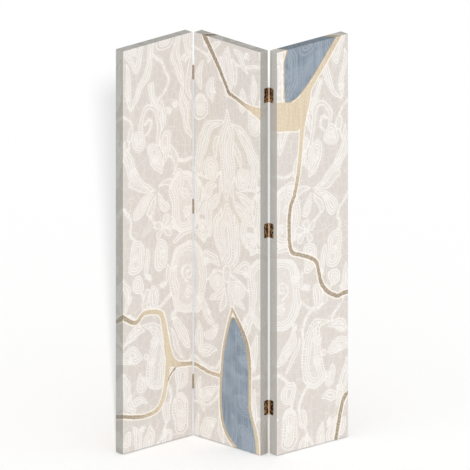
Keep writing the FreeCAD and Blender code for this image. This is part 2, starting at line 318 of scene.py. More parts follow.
def round_folds(points):
    """The cloth's places, with the box that they lie on rounded at every fold."""
    low = np.array([0, 0, PANEL_FOOT]) + FOLD_RADIUS
    high = np.array([PANEL_WIDTH, PANEL_DEPTH, PANEL_TOP]) - FOLD_RADIUS
    inner = np.clip(points, low, high)
    away = points - inner
    length = np.linalg.norm(away, axis=1, keepdims=True)
    return inner + away * np.where(length > 0, FOLD_RADIUS / np.maximum(length, 1e-9), 0)


def mitred(side_return):
    """Which faces of the back a return keeps: those inside its border and on its side of the mitres."""

    def keep(quads, x, z, start):
        kept = []
        for quad in quads.tolist():
            corners = [corner - start for corner in quad]
            by_side = [min(x[c], PANEL_WIDTH - x[c]) for c in corners]
            by_end = [min(z[c] - PANEL_FOOT, PANEL_TOP - z[c]) for c in corners]
            own, other = (by_side, by_end) if side_return else (by_end, by_side)
            if max(own) > RETURN + CLOTH / 2:
                continue
            corners_kept = [c for c, a, b in zip(quad, own, other) if a < b + CLOTH / 2]
            if len(corners_kept) >= 3:
                kept.append(corners_kept)
        return kept

    return keep


def canvas_cloth():
    """The cloth of one panel, outside and in, in the panel's axes."""
    cloth = Cloth()
    wide, deep, tall, top, foot = PANEL_WIDTH, PANEL_DEPTH, PANEL_HEIGHT, PANEL_TOP, PANEL_FOOT
    xs, ys, zs = cloth_lines(wide), cloth_lines(deep, 0), cloth_lines(tall) + foot
    cloth.add_patch(xs, zs, lambda x, z: (x, 0, z), lambda x, z: (x, top - z), True)
    cloth.add_patch(ys, zs, lambda y, z: (0, y, z), lambda y, z: (-y, top - z), False)
    cloth.add_patch(ys, zs, lambda y, z: (wide, y, z), lambda y, z: (wide + y, top - z), True)
    cloth.add_patch(xs, ys, lambda x, y: (x, y, top), lambda x, y: (x, -y), True)
    cloth.add_patch(xs, ys, lambda x, y: (x, y, foot), lambda x, y: (x, tall + y), False)
    first, last = slice(BORDER_LINES), slice(-BORDER_LINES, None)
    returns = [
        (xs[first], zs, lambda x, z: (-deep - x, top - z), True),
        (xs[last], zs, lambda x, z: (2 * wide + deep - x, top - z), True),
        (xs, zs[first], lambda x, z: (x, tall + deep + z - foot), False),
        (xs, zs[last], lambda x, z: (x, -deep - top + z), False),
    ]
    for across, along, flat, side_return in returns:
        cloth.add_patch(across, along, lambda x, z: (x, deep, z), flat, False, mitred(side_return))
    outer_faces, outer_points = len(cloth.faces), cloth.count
    add_lining(cloth, xs, zs)
    return cloth, outer_points, outer_faces


def add_lining(cloth, xs, zs):
    """The inner face of the cloth, and its cut edge on the back."""
    left, right, bottom, top = CLOTH, PANEL_WIDTH - CLOTH, PANEL_FOOT + CLOTH, PANEL_TOP - CLOTH
    front, back, outside = CLOTH, PANEL_DEPTH - CLOTH, PANEL_DEPTH
    corners = [(left, bottom), (right, bottom), (right, top), (left, top)]

    def flat(x, z):
        return (x, PANEL_TOP - z)

    cloth.add_face([(x, front, z) for x, z in corners][::-1], [flat(x, z) for x, z in corners][::-1])
    cut_x = [x for x in xs if RETURN - CLOTH / 2 < x < PANEL_WIDTH - RETURN + CLOTH / 2]
    cut_z = [z for z in zs if RETURN - CLOTH / 2 < z - PANEL_FOOT < PANEL_HEIGHT - RETURN + CLOTH / 2]
    edges = [
        [(x, cut_z[0]) for x in cut_x],
        [(cut_x[-1], z) for z in cut_z],
        [(x, cut_z[-1]) for x in cut_x[::-1]],
        [(cut_x[0], z) for z in cut_z[::-1]],
    ]
    for i, edge in enumerate(edges):
        start, end = corners[i], corners[(i + 1) % 4]
        side = [(*start, front), (*end, front), (*end, back), (*start, back)]
        cloth.add_face([(x, y, z) for x, z, y in side], [flat(x, z) for x, z, _ in side])
        turned = [start, end, *edge[::-1]]
        cloth.add_face([(x, back, z) for x, z in turned], [flat(x, z) for x, z in turned])
        for near, far in zip(edge[:-1], edge[1:]):
            rim = [(*near, outside), (*far, outside), (*far, back), (*near, back)]
            cloth.add_face([(x, y, z) for x, z, y in rim][::-1], [flat(x, z) for x, z, _ in rim][::-1])


# The print, in millimetres across the three fronts from the left, and down from their tops. A seam of gold is
# (across, down, half its width, how pale it is) at each of its points.

ART_WIDTH = 1200.0
GOLD_SEAMS = [
    [(440, -40, 13, 0), (466, 6, 13, 0), (531, 94, 10, 0), (575, 162, 9, 0.05), (601, 207, 9, 0.05),
     (611, 225, 10, 0), (624, 229, 8, 0.1), (662, 240, 8, 0.15), (700, 254, 9, 0.45), (722, 260, 11, 0.85),
     (760, 268, 16, 1), (806, 275, 29, 1)],
    [(1196, -50, 9, 0.55), (1150, 2, 9, 0.7), (1113, 46, 10, 0.8), (1075, 92, 10, 0.9), (1037, 134, 11, 0.95),
     (1004, 172, 11, 1), (975, 205, 14, 1), (957, 262, 22, 1), (946, 330, 14, 1), (938, 400, 10, 1),
     (932, 470, 9, 1), (925, 531, 9, 0.85), (903, 650, 9, 0.35), (877, 694, 9, 0.2), (866, 760, 9, 0.15),
     (869, 870, 9, 0.2), (883, 912, 9, 0.2), (919, 925, 8, 0.2), (975, 948, 8, 0.15), (1022, 975, 9, 0.2),
     (1034, 1020, 8, 0.2), (1042, 1062, 9, 0.15), (1060, 1102, 9, 0.2), (1094, 1135, 9, 0.15),
     (1144, 1160, 9, 0.1), (1162, 1152, 9, 0.1), (1205, 1150, 9, 0.1)],
    [(-10, 1180, 10, 0.1), (50, 1222, 9, 0.3), (82, 1228, 9, 0.5), (100, 1208, 9, 0.7),
     (120, 1194, 9, 0.85), (160, 1196, 9, 0.85), (205, 1207, 10, 0.9), (228, 1228, 11, 1),
     (246, 1325, 13, 1), (256, 1387, 18, 1), (272, 1440, 22, 1), (310, 1464, 13, 0.9),
     (350, 1470, 9, 0.55), (437, 1485, 8, 0.35), (500, 1499, 8, 0.45), (562, 1497, 9, 0.8)],
    [(262, 1440, 16, 1), (254, 1490, 12, 1), (245, 1550, 10, 1), (232, 1597, 10, 1),
     (212, 1633, 10, 0.95), (181, 1649, 9, 0.8), (125, 1656, 8, 0.5), (62, 1647, 8, 0.15),
     (-10, 1626, 8, 0.05)],
    [(300, 1478, 5, 0.1), (275, 1497, 4, 0.05), (256, 1530, 3, 0.1)],
    [(1210, 1596, 9, 0.15), (1178, 1612, 10, 0.2), (1158, 1669, 9, 0.15), (1128, 1810, 9, 0.1)],
    [(837, -40, 2, 0.7), (837, 210, 2, 0.7)],
    [(632, 1182, 5, 0.7), (606, 1262, 6, 0.6), (580, 1362, 6, 0.5), (566, 1480, 7, 0.5), (560, 1580, 7, 0.5),
     (563, 1664, 6, 0.4), (580, 1728, 5, 0.4), (618, 1776, 5, 0.5), (672, 1812, 5, 0.6)],
    [(630, 1182, 6, 0.6), (654, 1212, 6, 0.3), (688, 1258, 10, 0.15), (722, 1322, 11, 0.15),
     (738, 1404, 9, 0.4), (738, 1500, 7, 0.7), (737, 1590, 7, 0.6), (746, 1640, 9, 0.6), (766, 1690, 11, 0.7),
     (784, 1740, 9, 0.85), (788, 1840, 9, 0.9)],
]
GOLD_FIELD_START = 800.0
GOLD_FIELD = [
    (740, 206), (838, 232), (905, 244), (950, 200), (990, 176), (985, 262), (958, 330), (925, 378),
    (880, 366), (740, 342),
]
BLUE_FIELDS = [
    [(841, -60), (841, 226), (856, 238), (894, 232), (924, 216), (956, 192), (988, 162), (1020, 128),
     (1056, 88), (1094, 44), (1132, 0), (1184, -60)],
    [(631, 1204), (603, 1300), (581, 1387), (570, 1500), (566, 1580), (570, 1662), (587, 1725), (625, 1769),
     (662, 1794), (700, 1840), (776, 1840), (775, 1790), (768, 1722), (750, 1664), (732, 1622), (728, 1590),
     (731, 1500), (728, 1406), (712, 1325), (678, 1258)],
]

# The lace, as (shape, its spine, half its width, its cord work), on both sides of the middle. LACE_ALONE is
# drawn once. Cord work says how deep cords run in from a motif's edge, how full it is, and whether it has
# a ladder.
CORD_WORK = {
    "cord": (2.0, 0.75, False),
    "plain": (10.0, 0.34, False),
    "double": (17.0, 0.36, False),
    "nested": (30.0, 0.34, False),
    "ladder": (42.0, 0.30, True),
}
LACE = [
    ("drop", [(70, 122), (69, 60), (68, -30)], 60, "nested"),
    ("leaf", [(20, 60), (26, 160), (44, 290)], 16, "double"),
    ("leaf", [(165, -60), (160, 60), (118, 170), (44, 290)], 21, "double"),
    ("oval", [(235, -30), (235, 2)], 48, "ladder"),
    ("leaf", [(338, -60), (300, 60), (318, 160), (356, 250)], 25, "double"),
    ("drop", [(352, 130), (380, 70), (372, -10)], 27, "nested"),
    ("leaf", [(395, 70), (372, 190), (385, 300)], 17, "plain"),
    ("leaf", [(340, 205), (346, 330), (394, 478)], 24, "double"),
    ("oval", [(160, 186), (172, 230), (200, 300)], 18, "double"),
    ("leaf", [(226, 255), (232, 330), (212, 415)], 17, "double"),
    ("oval", [(106, 372), (104, 320), (126, 272), (166, 272), (192, 318), (204, 380), (206, 452)], 11,
     "plain"),
    ("cord", [(140, 396), (160, 376), (158, 344), (138, 332), (126, 348)], 7, "cord"),
    ("oval", [(95, 415), (95, 432)], 38, "nested"),
    ("oval", [(45, 372), (45, 398)], 18, "plain"),
    ("leaf", [(10, 396), (22, 500), (70, 594), (192, 656)], 27, "nested"),
    ("drop", [(224, 600), (196, 544), (178, 484)], 38, "nested"),
    ("drop", [(222, 572), (252, 510), (246, 440)], 27, "double"),
    ("leaf", [(270, 470), (300, 520), (292, 600)], 16, "plain"),
    ("drop", [(188, 655), (130, 650), (60, 610)], 20, "plain"),
    ("drop", [(186, 662), (128, 690), (88, 748)], 33, "nested"),
    ("drop", [(192, 668), (164, 720), (152, 752)], 16, "plain"),
    ("drop", [(204, 664), (216, 710), (238, 742)], 24, "double"),
    ("drop", [(208, 652), (250, 640), (284, 650)], 19, "plain"),
    ("oval", [(352, 680), (356, 800)], 80, "ladder"),
    ("oval", [(290, 610), (330, 590), (352, 640), (330, 690)], 10, "plain"),
    ("oval", [(372, 1020), (372, 1150)], 100, "ladder"),
    ("oval", [(296, 916), (330, 888), (380, 876), (420, 884), (456, 916)], 10, "plain"),
    ("drop", [(236, 838), (208, 826), (202, 812)], 18, "plain"),
    ("drop", [(236, 838), (238, 808), (242, 798)], 17, "plain"),
    ("drop", [(236, 838), (266, 830), (274, 818)], 17, "plain"),
    ("drop", [(236, 838), (260, 860), (268, 870)], 16, "plain"),
    ("drop", [(236, 838), (214, 862), (206, 872)], 16, "plain"),
    ("oval", [(236, 838), (236, 839)], 9, "cord"),
    ("oval", [(216, 925), (218, 985)], 36, "nested"),
    ("oval", [(78, 905), (80, 975)], 43, "nested"),
    ("oval", [(80, 1058), (80, 1072)], 33, "nested"),
    ("leaf", [(128, 902), (148, 970), (132, 1050)], 16, "double"),
    ("leaf", [(256, 996), (266, 1050), (246, 1100)], 13, "plain"),
    ("oval", [(134, 1100), (132, 1160)], 17, "plain"),
    ("oval", [(172, 1100), (176, 1160)], 22, "double"),
    ("leaf", [(6, 1010), (24, 1090), (20, 1190)], 17, "double"),
    ("drop", [(96, 1254), (190, 1262), (214, 1370), (186, 1486)], 62, "ladder"),
    ("leaf", [(-30, 1395), (40, 1368), (118, 1390)], 38, "nested"),
    ("leaf", [(10, 1310), (60, 1262), (118, 1284)], 19, "double"),
    ("oval", [(135, 1384), (136, 1392)], 13, "plain"),
    ("drop", [(92, 1450), (96, 1490), (110, 1524)], 27, "nested"),
    ("leaf", [(6, 1440), (20, 1540), (70, 1650)], 24, "double"),
    ("drop", [(150, 1600), (116, 1580), (80, 1590)], 22, "double"),
    ("oval", [(335, 1520), (335, 1548)], 38, "nested"),
    ("leaf", [(296, 1240), (330, 1330), (396, 1404)], 27, "nested"),
    ("leaf", [(276, 1290), (298, 1380), (360, 1446)], 13, "plain"),
    ("oval", [(252, 1646), (252, 1690)], 23, "double"),
    ("oval", [(330, 1640), (332, 1740)], 42, "ladder"),
    ("leaf", [(56, 1690), (96, 1740), (90, 1840)], 25, "double"),
    ("drop", [(150, 1690), (160, 1750), (150, 1796)], 30, "nested"),
    ("oval", [(28, 1730), (28, 1756)], 22, "double"),
    ("oval", [(252, 1774), (252, 1810)], 26, "double"),
    ("oval", [(436, 300), (438, 345)], 40, "ladder"),
    ("leaf", [(566, 12), (520, 36), (478, 124)], 17, "double"),
    ("leaf", [(566, 60), (548, 110), (560, 190)], 14, "plain"),
    ("leaf", [(520, 176), (498, 220), (505, 296)], 27, "nested"),
    ("leaf", [(455, 110), (428, 170), (440, 250)], 20, "double"),
    ("leaf", [(584, 346), (480, 410), (428, 520), (424, 650)], 27, "nested"),
    ("leaf", [(566, 430), (530, 470), (520, 540)], 16, "plain"),
    ("leaf", [(572, 516), (582, 600), (556, 696)], 17, "double"),
    ("oval", [(505, 580), (505, 608)], 41, "nested"),
    ("oval", [(470, 480), (452, 540), (450, 620)], 9, "plain"),
    ("leaf", [(564, 694), (520, 730), (436, 796)], 27, "nested"),
    ("drop", [(548, 650), (500, 670), (466, 704)], 25, "double"),
    ("leaf", [(478, 700), (500, 800), (486, 906)], 23, "double"),
    ("oval", [(452, 850), (452, 884)], 31, "ladder"),
    ("leaf", [(562, 750), (528, 870), (572, 1000)], 21, "double"),
    ("drop", [(566, 1014), (520, 985), (482, 980)], 27, "double"),
    ("drop", [(592, 1060), (560, 1078), (528, 1090)], 39, "nested"),
    ("leaf", [(590, 1080), (560, 1130), (496, 1176)], 22, "double"),
    ("leaf", [(592, 1090), (580, 1140), (560, 1220)], 14, "plain"),
    ("leaf", [(436, 1150), (470, 1230), (524, 1296)], 25, "double"),
    ("drop", [(548, 1274), (520, 1310), (488, 1334)], 27, "nested"),
    ("leaf", [(420, 1270), (440, 1340), (430, 1430)], 23, "double"),
    ("drop", [(546, 1388), (500, 1400), (458, 1410)], 29, "nested"),
    ("drop", [(548, 1556), (510, 1570), (476, 1602)], 31, "nested"),
    ("leaf", [(440, 1516), (430, 1600), (454, 1690)], 21, "double"),
    ("drop", [(530, 1690), (490, 1730), (478, 1764)], 33, "nested"),
    ("leaf", [(562, 1640), (550, 1720), (580, 1810)], 16, "plain"),
    ("leaf", [(420, 1690), (424, 1760), (410, 1840)], 15, "double"),
]
STEMS = [
    [(0, 296), (52, 340), (44, 440), (4, 484)],
    [(206, 424), (254, 520), (322, 560), (398, 556)],
    [(0, 706), (56, 770), (40, 846), (104, 902)],
    [(150, 764), (210, 816), (300, 862), (398, 846)],
    [(100, 1096), (156, 1196), (246, 1176), (306, 1108)],
    [(200, 1180), (262, 1262), (252, 1402), (188, 1506)],
    [(38, 1196), (104, 1244), (60, 1306), (0, 1312)],
    [(196, 1498), (282, 1562), (262, 1700), (196, 1806)],
    [(398, 1438), (342, 1478), (300, 1562), (322, 1642)],
    [(420, 640), (462, 702), (436, 770), (398, 802)],
    [(598, 1034), (520, 1040), (470, 1096), (408, 1126)],
    [(408, 1444), (470, 1486), (540, 1470), (564, 1436)],
    [(404, 60), (470, 90), (540, 96), (598, 60)],
    [(404, 600), (440, 640), (520, 640), (560, 590)],
    [(170, 40), (240, 110), (262, 200), (206, 256)],
    [(404, 1640), (480, 1652), (540, 1620), (558, 1560)],
]
CURLS = [  # (across, down, how wide, which way it starts)
    (68, 20, 22, 1.0), (96, 424, 23, 2.4), (352, 96, 20, 0.2), (262, 330, 18, 4.0), (240, 478, 18, 1.2),
    (60, 560, 20, 3.0), (180, 520, 20, 5.2), (128, 706, 20, 2.0), (352, 706, 30, 0.4),
    (372, 796, 26, 3.2), (80, 938, 22, 1.4), (218, 952, 20, 4.4), (374, 1064, 40, 1.6),
    (374, 1150, 30, 4.4), (150, 1040, 18, 0.6), (36, 1126, 16, 3.6), (176, 1330, 30, 5.0),
    (176, 1420, 24, 2.0), (50, 1388, 20, 0.8), (118, 1490, 15, 3.4), (40, 1560, 18, 5.6),
    (112, 1702, 18, 1.0), (330, 1690, 24, 4.2), (240, 1760, 18, 2.6), (30, 1640, 18, 0.2),
    (440, 330, 22, 1.8), (520, 232, 18, 0.6), (506, 592, 24, 4.8), (456, 704, 16, 2.2),
    (444, 866, 20, 3.8), (540, 1076, 20, 1.2), (476, 1000, 20, 5.4), (440, 1182, 20, 0.4),
    (490, 1232, 18, 3.0), (520, 1316, 16, 4.6), (450, 1404, 18, 1.0), (500, 1590, 18, 2.8),
    (440, 1600, 18, 5.0), (500, 1726, 20, 0.6), (300, 300, 18, 5.6), (480, 44, 20, 2.4),
    (30, 220, 16, 4.8), (300, 1030, 20, 2.0), (226, 1090, 20, 5.2), (300, 1240, 22, 0.8),
]
LACE_ALONE = [
    ("leaf", [(600, 12), (600, 120), (600, 250)], 40, "nested"),
    ("leaf", [(600, 290), (600, 500), (600, 712)], 46, "ladder"),
    ("leaf", [(600, 716), (600, 860), (600, 1016)], 54, "ladder"),
    ("oval", [(600, 1022), (600, 1052)], 22, "plain"),
    ("oval", [(816, -60), (816, 196)], 14, "cord"),
]
NOWHERE = 60.0  # so far from a mark that none of it shows
STEM_WIDTH, CURL_WIDTH = 7.0, 4.5  # half of each
CURL_TURNS = 1.6
DRAWN_LOOSELY, DRAWN_UNEVENLY = 6.0, 3.0  # how far the lace wanders, in long and in short waves
CORD_HALF = 2.7  # half a cord's width
CORD_MIDDLE = 2.8  # how deep the first cord's middle lies in a motif
CORD_PITCH = 11.5
PICOT_OUT = 4.5  # how far outside a motif its picots stand
LADDER_START, LADDER_END = 6.5, 15.5  # how deep a ladder lies in a motif
LADDER_SHRUNK = 4.0  # how much depth is counted across it, so that the cords make room
RUNG_PITCH = 12.0


def rounded_line(points, rounds, closed=False):
    """A line with its corners cut back, so that it runs smoothly."""
    line = np.array(points, float)
    for _ in range(rounds):
        behind, ahead = (line, np.roll(line, -1, axis=0)) if closed else (line[:-1], line[1:])
        cut = np.stack([0.75 * behind + 0.25 * ahead, 0.25 * behind + 0.75 * ahead], axis=1)
        cut = cut.reshape(-1, line.shape[1])
        line = cut if closed else np.vstack([line[:1], cut[1:-1], line[-1:]])
    return line


def beside(places, line):
    """How far each place is from a line, how far along it the nearest point is, and the line's length."""
    away, along, travelled = np.full(len(places), np.inf), np.zeros(len(places)), 0.0
    for start, end in zip(line[:-1, :2], line[1:, :2]):
        run = end - start
        length = max(math.hypot(*run), 1e-6)
        share = np.clip((places - start) @ run / length**2, 0, 1)
        gap = np.hypot(*(places - start - share[:, None] * run).T)
        nearer = gap < away
        away[nearer] = gap[nearer]
        along[nearer] = (travelled + share * length)[nearer]
        travelled += length
    return away, along, travelled


def near_line(places, line, reach):
    """Which places may be within reach of a line."""
    low, high = line[:, :2].min(0) - reach, line[:, :2].max(0) + reach
    return np.flatnonzero(((places > low) & (places < high)).all(axis=1))


def outside(places, outline):
    """How far each place is outside a closed outline, and less than nothing within it."""
    away, _, _ = beside(places, np.vstack([outline, outline[:1]]))
    x, y = places.T
    inside = np.zeros(len(places), bool)
    for (x0, y0), (x1, y1) in zip(outline, np.roll(outline, -1, axis=0)):
        if y0 != y1:
            inside ^= ((y0 > y) != (y1 > y)) & (x < x0 + (x1 - x0) * (y - y0) / (y1 - y0))
    return np.where(inside, -away, away)


def gold_print(places):
    """How far each place is from the gold, and how pale the gold is there."""
    gold, pale = np.full(len(places), NOWHERE), np.zeros(len(places))
    for seam in GOLD_SEAMS:
        line = rounded_line(seam, 1)
        near = near_line(places, line, NOWHERE)
        away, along, _ = beside(places[near], line)
        marks = np.concatenate([[0], np.cumsum(np.hypot(*np.diff(line[:, :2], axis=0).T))])
        own = away - np.interp(along, marks, line[:, 2])
        nearer = own < gold[near]
        gold[near[nearer]] = own[nearer]
        pale[near[nearer]] = np.interp(along, marks, line[:, 3])[nearer]
    outline = rounded_line(GOLD_FIELD, 2, closed=True)
    near = near_line(places, outline, NOWHERE)
    own = np.maximum(outside(places[near], outline), GOLD_FIELD_START - places[near, 0])
    nearer = own < gold[near]
    gold[near[nearer]] = own[nearer]
    pale[near[nearer]] = 1.0
    return gold, pale


def blue_print(places):
    """How far each place is from the blue."""
    blue = np.full(len(places), NOWHERE)
    for field in BLUE_FIELDS:
        outline = rounded_line(field, 2, closed=True)
        near = near_line(places, outline, NOWHERE)
        blue[near] = np.minimum(blue[near], outside(places[near], outline))
    return blue


def half_width(shape, share, widest):
    """Half the width of a motif, at a share of the way along its spine."""
    if shape == "leaf":
        return widest * np.sin(np.pi * share) ** 0.75
    if shape == "drop":
        return widest * np.sin(np.pi / 2 * np.minimum(share * 1.02, 1.0)) ** 0.9
    return np.full(len(share), float(widest))


def curl(across, down, wide, start):
    """The spine of a scroll that winds in."""
    turns = np.linspace(0, 1, 12)
    angles = start + turns * CURL_TURNS * 2 * np.pi
    reach = wide * (1 - 0.85 * turns)
    return list(zip(across + reach * np.cos(angles), down + reach * np.sin(angles)))


def loosened(places):
    """Where the lace's own drawing lies for each place, so that no motif is quite regular."""
    across, down = places.T
    wander = DRAWN_LOOSELY * np.sin(down / 31 + 1.4 * np.sin(across / 57))
    wander += DRAWN_UNEVENLY * np.sin(across / 17 + down / 23)
    rise = DRAWN_LOOSELY * np.sin(across / 37 + 1.2 * np.sin(down / 43))
    rise += DRAWN_UNEVENLY * np.sin(across / 21 - down / 19)
    return np.stack([across + wander, down + rise], axis=1)


def lace_print(places):
    """At each place: how deep it is in a motif, how deep its cords go, its fullness, and its ladder."""
    depth, cords, full, ladder, rung = (np.zeros(len(places)) for _ in range(5))
    depth -= NOWHERE
    drawn = [("cord", stem, STEM_WIDTH, "cord") for stem in STEMS] + LACE
    drawn += [("cord", curl(*scroll), CURL_WIDTH, "cord") for scroll in CURLS]
    flipped = [(shape, [(ART_WIDTH - x, y) for x, y in spine], *rest) for shape, spine, *rest in drawn]
    pairs = [motif for pair in zip(drawn, flipped) for motif in pair]
    for shape, spine, widest, work in pairs + LACE_ALONE:
        reach, fullness, laddered = CORD_WORK[work]
        line = rounded_line(spine, 2)
        near = near_line(places, line, widest + CORD_PITCH)
        away, along, length = beside(places[near], line)
        own = half_width(shape, along / length, widest) - away
        over = own > 0
        nearest = over | (own > depth[near])
        if laddered:
            kept = [-NOWHERE, LADDER_START, LADDER_END, LADDER_END + NOWHERE]
            ladder_end = LADDER_START + LADDER_SHRUNK
            own = np.interp(own, kept, [-NOWHERE, LADDER_START, ladder_end, ladder_end + NOWHERE])
        depth[near] = np.where(nearest, own, depth[near])
        cords[near] = np.where(over, reach, cords[near])
        full[near] = np.where(over, fullness, full[near])
        ladder[near] = np.where(over, float(laddered), ladder[near])
        rung[near] = np.where(nearest, along / RUNG_PITCH, rung[near])
    return {"depth": depth, "cords": cords, "full": full, "ladder": ladder, "rung": rung}


def print_marks(flat, offset):
    """Every mark of the print at each place of a panel's flat cloth. It is mirrored about each fold."""
    x, y = flat.T
    across = PANEL_WIDTH - np.abs(PANEL_WIDTH - np.abs(x))
    down = PANEL_HEIGHT - np.abs(PANEL_HEIGHT - np.abs(y))
    places = np.stack([(across + offset) * 1000, down * 1000], axis=1)
    gold, pale = gold_print(places)
    onto_back = np.max([-x, x - PANEL_WIDTH, -y, y - PANEL_HEIGHT], axis=0) - PANEL_DEPTH
    marks = {"gold": gold, "pale": pale, "blue": blue_print(places), "onto_back": onto_back * 1000}
    return {**marks, **lace_print(loosened(places))}


GROUND = paint(190, 184, 179)
GROUND_WARM = paint(194, 187, 173)
LINEN_STREAK = paint(199, 191, 181)
THREAD_WHITE = paint(219, 216, 212)
CREAM = paint(221, 215, 206)
GOLD_DARK = paint(125, 111, 95)
GOLD_PALE = paint(196, 181, 156)
GOLD_EDGE = paint(168, 147, 115)
BLUE_DEEP = paint(108, 120, 132)
BLUE_LIGHT = paint(125, 136, 147)
BLUE_LACE = paint(150, 158, 167)
RAW_COTTON = paint(222, 210, 188)
COTTON_SLUB = paint(205, 190, 164)
COTTON_PALE = paint(232, 223, 204)
COTTON_SEED = paint(150, 118, 80)
WRAP_SHADE = (0.56, 0.58, 0.57, 1.0)  # painted shade: how much darker the print is made round the sides, top and bottom
# How deep the painted shade goes on each panel's sides, and how much lighter it is painted on the tops, where
# more light falls.
WRAP_SHADE_STRENGTH = {"left": 1.0, "middle": 0.87, "right": 0.66}
TOP_SHADE_STRENGTH = 0.78
SIDE_FADED = {"left": 0.25, "middle": 0.75, "right": 0.75}
WARM_MIDDLE = (0.6, 0.62)  # of the yellower ground, in metres across and down
WARM_WIDTH, WARM_LENGTH = 0.26, 0.38
NET_CELLS = 26.0
WEAVE_PITCH = 0.0008
PRINT_BEHIND = 10.0  # how far the print reaches onto the back, in millimetres


def mark(tree, name):
    """One mark of the print, in millimetres or as a share."""
    return add(tree, "ShaderNodeAttribute", {"attribute_name": name}, output="Fac")


def stretched_noise(place, scale, detail=2.0):
    """A cloudy pattern that is stretched along one direction."""
    return noise(stretched(place, scale), 1.0, detail)


def from_whole(value):
    """How far a number is from the nearest whole one."""
    return 0.5 - calc("ABSOLUTE", calc("FRACT", value) - 0.5)


def distance(first, second):
    """How far it is to a place that lies these two lengths away, at right angles."""
    return calc("SQRT", first * first + second * second)


def weave_height(flat):
    """The height of a plain weave, threads over and under each other."""
    across, down, _ = parts(flat)
    turns = math.pi / WEAVE_PITCH
    return calc("SINE", across * turns) * calc("SINE", down * turns)


def print_ground(flat, clouds, streaks):
    """The linen-coloured ground: streaked, yellower in the middle of the screen, and netted with white."""
    across, down, _ = parts(flat)
    off_across = calc("ABSOLUTE", across - WARM_MIDDLE[0])
    off_down = calc("ABSOLUTE", down - WARM_MIDDLE[1])
    warm = ramp(off_across, 0.08, WARM_WIDTH, 1, 0) * ramp(off_down, 0.1, WARM_LENGTH, 1, 0)
    ground = blend(warm * ramp(clouds, 0.3, 0.7), GROUND, GROUND_WARM)
    ground = blend(ramp(streaks, 0.42, 0.66, 0, 0.8), ground, LINEN_STREAK)
    edges = {"feature": "DISTANCE_TO_EDGE"}
    cells = add(flat.tree, "ShaderNodeTexVoronoi", edges, "Distance", vector=flat, scale=NET_CELLS)
    net = ramp(cells, 0.012, 0.06, 0.26, 0.0)
    return ground, blend(net, ground, THREAD_WHITE)


def lace_share(tree, fine, streaks):
    """The lace: how much of its cords and of its filling shows, and where its ladders are open."""
    depth, cords, rung = mark(tree, "depth"), mark(tree, "cords"), mark(tree, "rung")
    inside = ramp(depth, -0.8, 0.8)
    steps = (depth + (CORD_PITCH - CORD_MIDDLE)) / CORD_PITCH
    off_cord = from_whole(steps) * CORD_PITCH + ramp(fine, 0.3, 0.7, -1.0, 1.0)
    cord = ramp(off_cord, CORD_HALF - 1.4, CORD_HALF + 1.0, 1, 0) * inside
    cord = cord * calc("LESS_THAN", depth, cords)
    ladder_end = LADDER_START + LADDER_SHRUNK
    between = ramp(depth, LADDER_START - 0.8, LADDER_START + 0.4)
    between = between * ramp(depth, ladder_end - 0.4, ladder_end + 0.8, 1, 0) * mark(tree, "ladder")
    rungs = between * ramp(from_whole(rung), 0.12, 0.3, 1, 0)
    off_picot = (0.5 - from_whole(rung)) * RUNG_PITCH
    picots = ramp(distance(off_picot, depth + PICOT_OUT), 1.2, 3.0, 0.8, 0)
    lace = calc("MAXIMUM", calc("MAXIMUM", cord, rungs), picots)
    thin = ramp(streaks, 0.36, 0.66, 1.0, 0.62)
    filled = inside * mark(tree, "full") * ramp(fine, 0.35, 0.65, 0.6, 1.3)
    return lace * thin, filled * thin, between


def blue_wash(clouds, streaks, lace):
    """The blue fields, a wash with the lace showing through."""
    wash = blend(ramp(clouds, 0.42, 0.58), BLUE_DEEP, BLUE_LIGHT)
    wash = blend(ramp(streaks, 0.4, 0.66, 0, 0.5), wash, BLUE_LACE)
    return blend(lace * 0.8, wash, BLUE_LACE)


def gold_leaf(flat, gold, streaks):
    """The gold seams, mottled and streaked, with a darker edge."""
    leaf = blend(mark(flat.tree, "pale"), GOLD_DARK, GOLD_PALE)
    leaf = blend(ramp(noise(flat, 130.0, 5.0, 0.65), 0.42, 0.66, 0.0, 0.4), leaf, CREAM)
    leaf = blend(ramp(streaks, 0.4, 0.7, 0.0, 0.35), leaf, GOLD_EDGE)
    return blend(ramp(gold, -3.0, 0.0, 0.0, 0.35), leaf, GOLD_EDGE)


